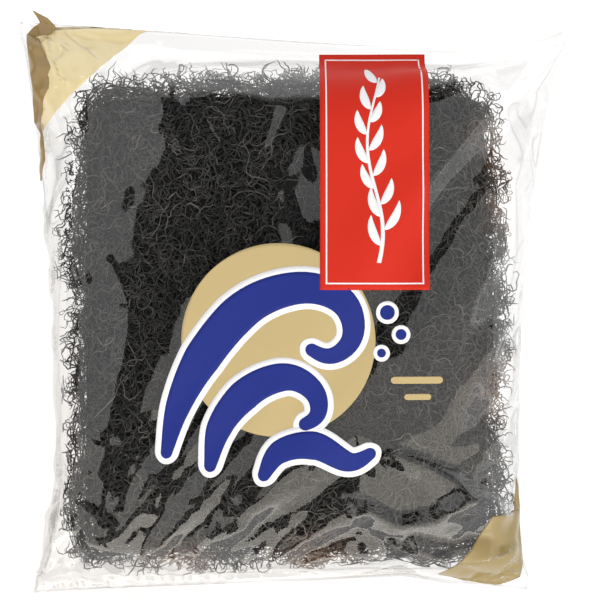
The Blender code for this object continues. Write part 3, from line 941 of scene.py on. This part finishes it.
def tubes(name, paths, radius, tone, node):
    # thin tubes: path + r (cos k side + sin k up), r = radius (1 - 0.7 |s|^5) with knots
    count, steps = paths.shape[:2]
    sides = stemOptions["sides"]
    along = np.gradient(paths, axis=1)
    along /= np.linalg.norm(along, axis=-1, keepdims=True) + 1e-12
    side = np.cross(along, np.array([0.12, 0.05, 1.0]))
    side /= np.linalg.norm(side, axis=-1, keepdims=True) + 1e-12
    up = np.cross(side, along)
    s = np.linspace(-1, 1, steps)
    knots = stemRng.uniform(0.8, 1.2, (count, steps))
    thick = radius[:, None] * (1 - 0.7 * np.abs(s) ** 5) * knots
    turn = stemRng.uniform(0, np.pi, (count, 1, 1)) + np.arange(sides) * 2 * np.pi / sides
    ring = np.cos(turn)[..., None] * side[:, :, None] + np.sin(turn)[..., None] * up[:, :, None]
    points = paths[:, :, None] + thick[..., None, None] * ring
    index = np.arange(count * steps * sides).reshape(count, steps, sides)
    after = np.roll(index, -1, axis=2)
    walls = np.stack([index[:, :-1], index[:, 1:], after[:, 1:], after[:, :-1]], -1)
    caps = np.concatenate([index[:, 0], index[:, -1, ::-1]])
    mesh = meshFromArrays(name, points.reshape(-1, 3), walls.reshape(-1, 4), caps)
    for label, values in (("tone", tone), ("brown", brownness(paths.mean(axis=1)))):
        shade = mesh.attributes.new(label, "FLOAT", "POINT")
        shade.data.foreach_set("value", np.repeat(values, steps * sides).astype(np.float32))
    obj = addObject(name, mesh, hijiki)
    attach(obj, "root")
    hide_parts(node)


hijikiLook = {
    # colour by a stem's own tone and a fine noise: darkest, middle (and its place) and palest
    "dark": (0.008, 0.009, 0.010), "middle": (0.036, 0.037, 0.036), "pale": (0.150, 0.138, 0.128),
    "middleAt": 0.55,
    "brown": (0.200, 0.120, 0.075),
    "noiseScale": 260, "noiseAmount": 1.1,
    "roughness": 0.36, "specular": 0.9,
}


def hijikiMaterial():
    # ramp of noiseAmount * noise + tone - noiseAmount / 2, then brown by its own attribute
    o = hijikiLook
    mat, tree, output = newMaterial("dried hijiki")
    shader = addNode(tree, "BsdfPrincipled", (("Roughness", o["roughness"]),
                                              ("Specular IOR Level", o["specular"])))
    tone = addNode(tree, "Attribute", attribute_name="tone")
    brown = addNode(tree, "Attribute", attribute_name="brown")
    place = addNode(tree, "TexCoord")
    patches = addNode(tree, "TexNoise", (("Scale", o["noiseScale"]), ("Detail", 2)))
    uneven = addNode(tree, "Math", ((1, o["noiseAmount"]),), operation="MULTIPLY_ADD")
    shifted = addNode(tree, "Math", ((1, o["noiseAmount"] / 2),), operation="SUBTRACT")
    ramp = addNode(tree, "ValToRGB")
    ramp.color_ramp.elements[0].color = (*o["dark"], 1)
    ramp.color_ramp.elements[1].color = (*o["pale"], 1)
    ramp.color_ramp.elements.new(o["middleAt"]).color = (*o["middle"], 1)
    tinted = addNode(tree, "Mix", data_type="RGBA")
    tinted.inputs[7].default_value = (*o["brown"], 1)  # its colour sockets are 6 and 7
    joinNodes(tree, (place, "Object", patches, "Vector"), (tone, "Fac", shifted, 0),
              (patches, "Fac", uneven, 0), (shifted, 0, uneven, 2), (uneven, 0, ramp, "Fac"),
              (brown, "Fac", tinted, 0), (ramp, "Color", tinted, 6),
              (tinted, 2, shader, "Base Color"), (shader, 0, output, 0))
    return mat


def lyingStems(name, numbers, way, node):
    # stems spread over one side of the cushion, each at its own depth with a slow wave
    o, (count, steps, parts) = stemOptions, numbers
    reach = profileTable()[0][-1]
    length = stemRng.uniform(*o["length"], count)
    plan = curlyPlans(count, steps, length)
    centre = stemRng.uniform(-reach, reach, (count, 1, 2))
    flat = centre + plan / np.array(o["half"][:2])
    ring = squareNorm(flat[..., 0], flat[..., 1], o["squareness"])
    turned = np.where(ring > reach, np.maximum(2 * reach - ring, 0.5 * reach), ring)
    flat *= (turned / (ring + 1e-9))[..., None]
    share = np.linspace(0, 1, steps + 1)
    depth = stemRng.uniform(*o["depth"], (count, 1))
    turns = share * stemRng.uniform(*o["slowTurns"], (count, 1))
    wave = o["slowWave"] * np.sin(2 * np.pi * turns + anyPhase(count))
    depth = np.maximum(depth + wave, o["depth"][0])
    paths = onBody(flat, depth, way, stemRng.uniform(*o["rimSpread"], (count, 1)))
    radius = stemRng.uniform(*o["radius"], count)
    tone = np.clip(stemRng.normal(*o["tone"], count), 0, 1)
    for part in range(parts):
        pick = slice(part * count // parts, (part + 1) * count // parts)
        tubes(f"{name}{part}", paths[pick], radius[pick], tone[pick], node)


def fringeStems(name, numbers, node):
    # looser stems round the rim: their middles on the rim's squircle, standing out and in
    o, (count, steps) = stemOptions, numbers
    length = stemRng.uniform(*o["fringeLength"], count)
    plan = curlyPlans(count, steps, length)
    turn = stemRng.uniform(0, 2 * np.pi, (count, 1))
    ring = np.stack([np.cos(turn), np.sin(turn)], -1)
    ring /= squareNorm(ring[..., :1], ring[..., 1:], o["squareness"])
    least, more = o["fringeOut"]
    out = least + more * stemRng.random((count, 1, 1)) ** 1.3
    out = out + rimWaves(*ring.T[:, 0])[:, None, None]
    flat = ring * (out + np.array(o["half"][:2])) + np.array(o["centre"][:2]) + plan
    level, (tall, sweep) = o["fringeLevel"], o["fringeWave"]
    z = o["centre"][2] + stemRng.uniform(-level, level, (count, 1)) * o["half"][2]
    z = z + tall * np.sin(np.linspace(0, sweep, steps + 1) + anyPhase(count))
    paths = keptInside(np.concatenate([flat, z[..., None]], axis=-1), o["fringeGap"])
    tone = np.clip(stemRng.normal(*o["fringeTone"], count), 0, 1)
    radius = stemRng.uniform(*o["fringeRadius"], count)
    tubes(name, paths, radius, tone, node)


def darkCore():
    # the tangle's inside, which the stems cover: the same cushion, a few mm in, near-black: partly
    # the inner stems, partly painted shade of the deep gaps between them
    turn, rise = np.linspace(0, 2 * np.pi, 97)[:-1], np.linspace(-np.pi / 2, np.pi / 2, 34)
    t, s = np.meshgrid(turn, rise)
    n, q = stemOptions["squareness"], filmOptions["bodyRoundness"]
    atRim, atTop = stemOptions["coreDepth"]
    half = np.array(stemOptions["half"]) - np.array([atRim, atRim, atTop])
    flat = np.clip(np.cos(s), 0.002, 1) ** (2 / q)
    unit = np.stack([flat * signedPower(np.cos(t), 2 / n), flat * signedPower(np.sin(t), 2 / n),
                     signedPower(np.sin(s), 2 / q)], -1)
    points = (half * unit + np.array(stemOptions["centre"])).reshape(-1, 3)
    index = np.arange(s.size).reshape(s.shape)
    after = np.roll(index, -1, axis=1)
    quads = np.stack([index[:-1], after[:-1], after[1:], index[1:]], -1).reshape(-1, 4)
    mesh = meshFromArrays("darkCore", points, facingOut(points, quads))
    core = addObject("darkCore", mesh, plainMaterial("deep stems in painted shade", stemOptions["coreShadeColour"], 0.9))
    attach(core, "root")
    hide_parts("hijiki_front_layer", "hijiki_back_layer")


def signedPower(value, exponent):
    # |value|^exponent, with the value's own sign
    return np.sign(value) * np.abs(value) ** exponent


hijiki = hijikiMaterial()
stemRng = np.random.default_rng(stemOptions["seed"])
darkCore()
lyingStems("frontStems", stemOptions["front"], 1, "hijiki_front_layer")
lyingStems("backStems", stemOptions["back"], -1, "hijiki_back_layer")
fringeStems("fringeStems", stemOptions["fringe"], "hijiki_front_layer")
stageDone("hijiki")


cameraOptions = {"place": (0.0043, 0.0044, 1.063), "lens": 100, "sensor": 36}
lightOptions = {
    "floor": (1.05, 1.22),  # from the lower left to the upper right
    "floorSpan": 0.16,  # how far from the middle the glow changes
    "warmWhite": (1, 0.975, 0.953),
    "world": 0.50,
    "worldLow": (1.50, 0.12),  # near the horizon, and there towards the left
    "worldHigh": 0.02,
    "leftToRight": (-0.9, -0.1),  # directions between which the horizon brightens
    "lowToHigh": (0.30, 0.50),  # and the sky darkens
    "warmth": (0, 0.05, 0.14),  # what a warm box lacks of red, green and blue
    "height": 1.3,
    # softboxes: x and y ranges, radiance, warmth
    "boxes": (
        ((-2.4, -0.55), (0.0, 1.5), 1.06, 0),
        ((-2.4, -0.42), (-0.5, 0.0), 1.05, 0),
        ((-2.4, -0.80), (-2.4, -0.5), 1.30, 0.5),
        ((-0.80, -0.40), (-1.2, -0.86), 1.25, 0.5),
        ((0.06, 2.6), (-0.05, 0.90), 0.85, 0),
        ((0.10, 0.60), (0.90, 1.5), 0.85, 0),
        ((-0.15, 2.6), (-0.55, -0.05), 1.05, 0.3),
        ((0.04, 2.6), (-0.85, -0.55), 2.05, 1),
        ((-0.12, 2.6), (-1.2, -0.85), 2.05, 1),
        ((-0.12, 2.6), (-1.7, -1.2), 2.40, 1),
        ((-0.40, 2.6), (-3.8, -1.7), 3.00, 1),
        ((-2.4, -0.40), (-3.8, -2.4), 3.00, 1),
        ((-2.2, -0.42), (1.5, 2.6), 0.95, 0),
        ((2.6, 3.6), (-2.4, 1.0), 1.10, 0),
        ((-2.75, -2.5), (0.6, 1.0), 7.0, 0),
        ((-1.25, -0.95), (2.8, 3.2), 7.0, 0),
        ((0.8, 1.8), (-3.2, -2.8), 9.0, 0),
    ),
}


def whiteTable():
    # glows a little less, and warmer, at its lower left: strength by 0.7 x + 0.7 y
    o = lightOptions
    mesh = bpy.data.meshes.new("table")
    mesh.from_pydata([(-4, -4, 0), (4, -4, 0), (4, 4, 0), (-4, 4, 0)], [], [(0, 1, 2, 3)])
    mat, tree, output = newMaterial("lit white table")
    glow = addNode(tree, "Emission")
    place = addNode(tree, "TexCoord")
    across = addNode(tree, "VectorMath", ((1, (0.7, 0.7, 0)),), operation="DOT_PRODUCT")
    share = addNode(tree, "MapRange", (("From Min", -o["floorSpan"]), ("From Max", o["floorSpan"])))
    strength = addNode(tree, "MapRange", (("To Min", o["floor"][0]), ("To Max", o["floor"][1])))
    ramp = addNode(tree, "ValToRGB")
    ramp.color_ramp.elements[0].color = (*o["warmWhite"], 1)
    ramp.color_ramp.elements[1].color = (1, 1, 1, 1)
    ramp.color_ramp.elements[1].position = 0.5
    joinNodes(tree, (place, "Object", across, 0), (across, "Value", share, "Value"),
              (share, "Result", strength, "Value"), (share, "Result", ramp, "Fac"),
              (strength, "Result", glow, "Strength"), (ramp, "Color", glow, "Color"),
              (glow, 0, output, 0))
    table = addObject("whiteTable", mesh, mat)
    table.location.z = -0.0005


def surroundings():
    # white for the camera; reflections see a horizon that is bright but for its left side,
    # under a dark ceiling; the rest is lit softly
    o = lightOptions
    world = bpy.data.worlds.new("studio")
    bpy.context.scene.world = world
    world.use_nodes = True
    tree = world.node_tree
    tree.nodes.clear()
    output = addNode(tree, "OutputWorld")
    sky = addNode(tree, "Background", (("Color", (1, 1, 1, 1)),))
    rays = addNode(tree, "LightPath")
    place = addNode(tree, "TexCoord")
    apart = addNode(tree, "SeparateXYZ")
    across = addNode(tree, "VectorMath", ((1, (1, 0, 0)),), operation="DOT_PRODUCT")
    horizon = addNode(tree, "MapRange", (
        ("From Min", o["leftToRight"][0]), ("From Max", o["leftToRight"][1]),
        ("To Min", o["worldLow"][1]), ("To Max", o["worldLow"][0])))
    height = addNode(tree, "MapRange", (("From Min", o["lowToHigh"][0]),
                                        ("From Max", o["lowToHigh"][1]), ("To Max", o["worldHigh"])))
    glossy = addNode(tree, "Mix", (("A", o["world"]),))
    camera = addNode(tree, "Mix", (("B", 1.0),))
    joinNodes(tree, (place, "Generated", apart, 0), (place, "Generated", across, 0),
              (across, "Value", horizon, "Value"), (horizon, "Result", height, "To Min"),
              (apart, "Z", height, "Value"), (rays, "Is Glossy Ray", glossy, "Factor"),
              (height, "Result", glossy, "B"), (rays, "Is Camera Ray", camera, "Factor"),
              (glossy, "Result", camera, "A"), (camera, "Result", sky, "Strength"),
              (sky, 0, output, 0))


def softBoxes():
    # overhead rectangles facing down, which the film mirrors as haze
    for number, ((x0, x1), (y0, y1), radiance, warmth) in enumerate(lightOptions["boxes"]):
        light = bpy.data.lights.new(f"softBox{number}", "AREA")
        light.shape = "RECTANGLE"
        light.size, light.size_y = x1 - x0, y1 - y0
        light.energy = radiance * math.pi * light.size * light.size_y
        light.color = [1 - less * warmth for less in lightOptions["warmth"]]
        lamp = bpy.data.objects.new(f"softBox{number}", light)
        bpy.context.scene.collection.objects.link(lamp)
        lamp.location = ((x0 + x1) / 2, (y0 + y1) / 2, lightOptions["height"])


def photoCamera():
    # straight down from above the bag
    camera = bpy.data.objects.new("photoCamera", bpy.data.cameras.new("photoCamera"))
    bpy.context.scene.collection.objects.link(camera)
    camera.data.lens = cameraOptions["lens"]
    camera.data.sensor_width = cameraOptions["sensor"]
    camera.location = cameraOptions["place"]
    bpy.context.scene.camera = camera


whiteTable()
surroundings()
softBoxes()
photoCamera()
bpy.context.scene.view_settings.view_transform = "Standard"
bpy.context.view_layer.update()

stageDone("scene")
